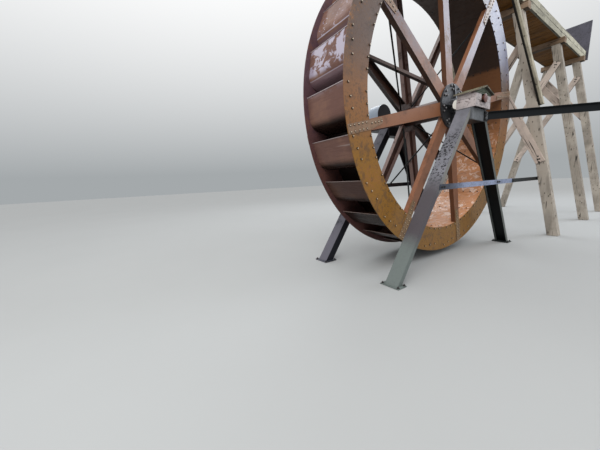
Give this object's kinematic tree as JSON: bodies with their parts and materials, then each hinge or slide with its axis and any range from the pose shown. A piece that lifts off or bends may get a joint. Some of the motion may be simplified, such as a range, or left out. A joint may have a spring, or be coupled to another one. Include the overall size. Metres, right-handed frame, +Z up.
{
  "type": "watermill wheel with launder",
  "caption": "Overshot steel water wheel on two A-frames, fed by a timber launder that stands on braced trestles.",
  "frame": {"origin": "on the level that the feet stand on, straight below the middle of the shaft and of the wheel's width", "axes": "+Z up, +Y along the shaft to the far side, +X along the launder away from the wheel"},
  "size_m": [15.3592, 5.0247, 8.5],
  "materials": {
    "wheel_rust": "rusted steel plate",
    "bucket_sheet": "wet rusted sheet",
    "hub_iron": "weathered casting",
    "shaft_steel": "rusty steel",
    "frame_paint": "grey paint, peeling",
    "box_timber": "bare weathered boards",
    "launder_timber": "weathered, green with age",
    "panel_sheet": "dark grey sheet"
  },
  "bodies": {
    "frame": {"near_left_leg": "frame_paint", "near_right_leg": "frame_paint", "near_head": "frame_paint", "near_bearing": "hub_iron", "box_boards": "box_timber", "box_roof": "box_timber", "near_tie": "frame_paint", "side_tie": "frame_paint", "bank_strut": "frame_paint", "far_left_leg": "frame_paint", "far_right_leg": "frame_paint", "far_head": "frame_paint", "far_bearing": "hub_iron", "far_cover": "frame_paint", "far_tie": "frame_paint", "launder_floor": "launder_timber", "launder_near_side": "launder_timber", "launder_far_side": "launder_timber", "head_panel": "panel_sheet", "bent_a_near_post": "launder_timber", "bent_a_far_post": "launder_timber", "bent_a_cap": "launder_timber", "bent_a_braces": "launder_timber", "bent_b_near_post": "launder_timber", "bent_b_far_post": "launder_timber", "bent_b_cap": "launder_timber", "bent_b_braces": "launder_timber", "bent_c_near_post": "launder_timber", "bent_c_far_post": "launder_timber", "bent_c_cap": "launder_timber", "bent_c_braces": "launder_timber", "near_knee": "launder_timber", "far_knee": "launder_timber"},
    "wheel": {"near_rim": "wheel_rust", "far_rim": "wheel_rust", "near_gussets": "wheel_rust", "far_gussets": "wheel_rust", "sole_plates": "bucket_sheet", "buckets": "bucket_sheet", "near_spokes": "wheel_rust", "far_spokes": "wheel_rust", "near_hub": "hub_iron", "far_hub": "hub_iron", "shaft": "shaft_steel", "cross_braces": "wheel_rust", "tie_rods": "shaft_steel"}
  },
  "joints": [
    {"name": "wheel_spin", "type": "hinge", "parent": "frame", "child": "wheel", "pos_m": [0, 0, 3.45], "axis": [0, -1, 0], "continuous": true}
  ]
}
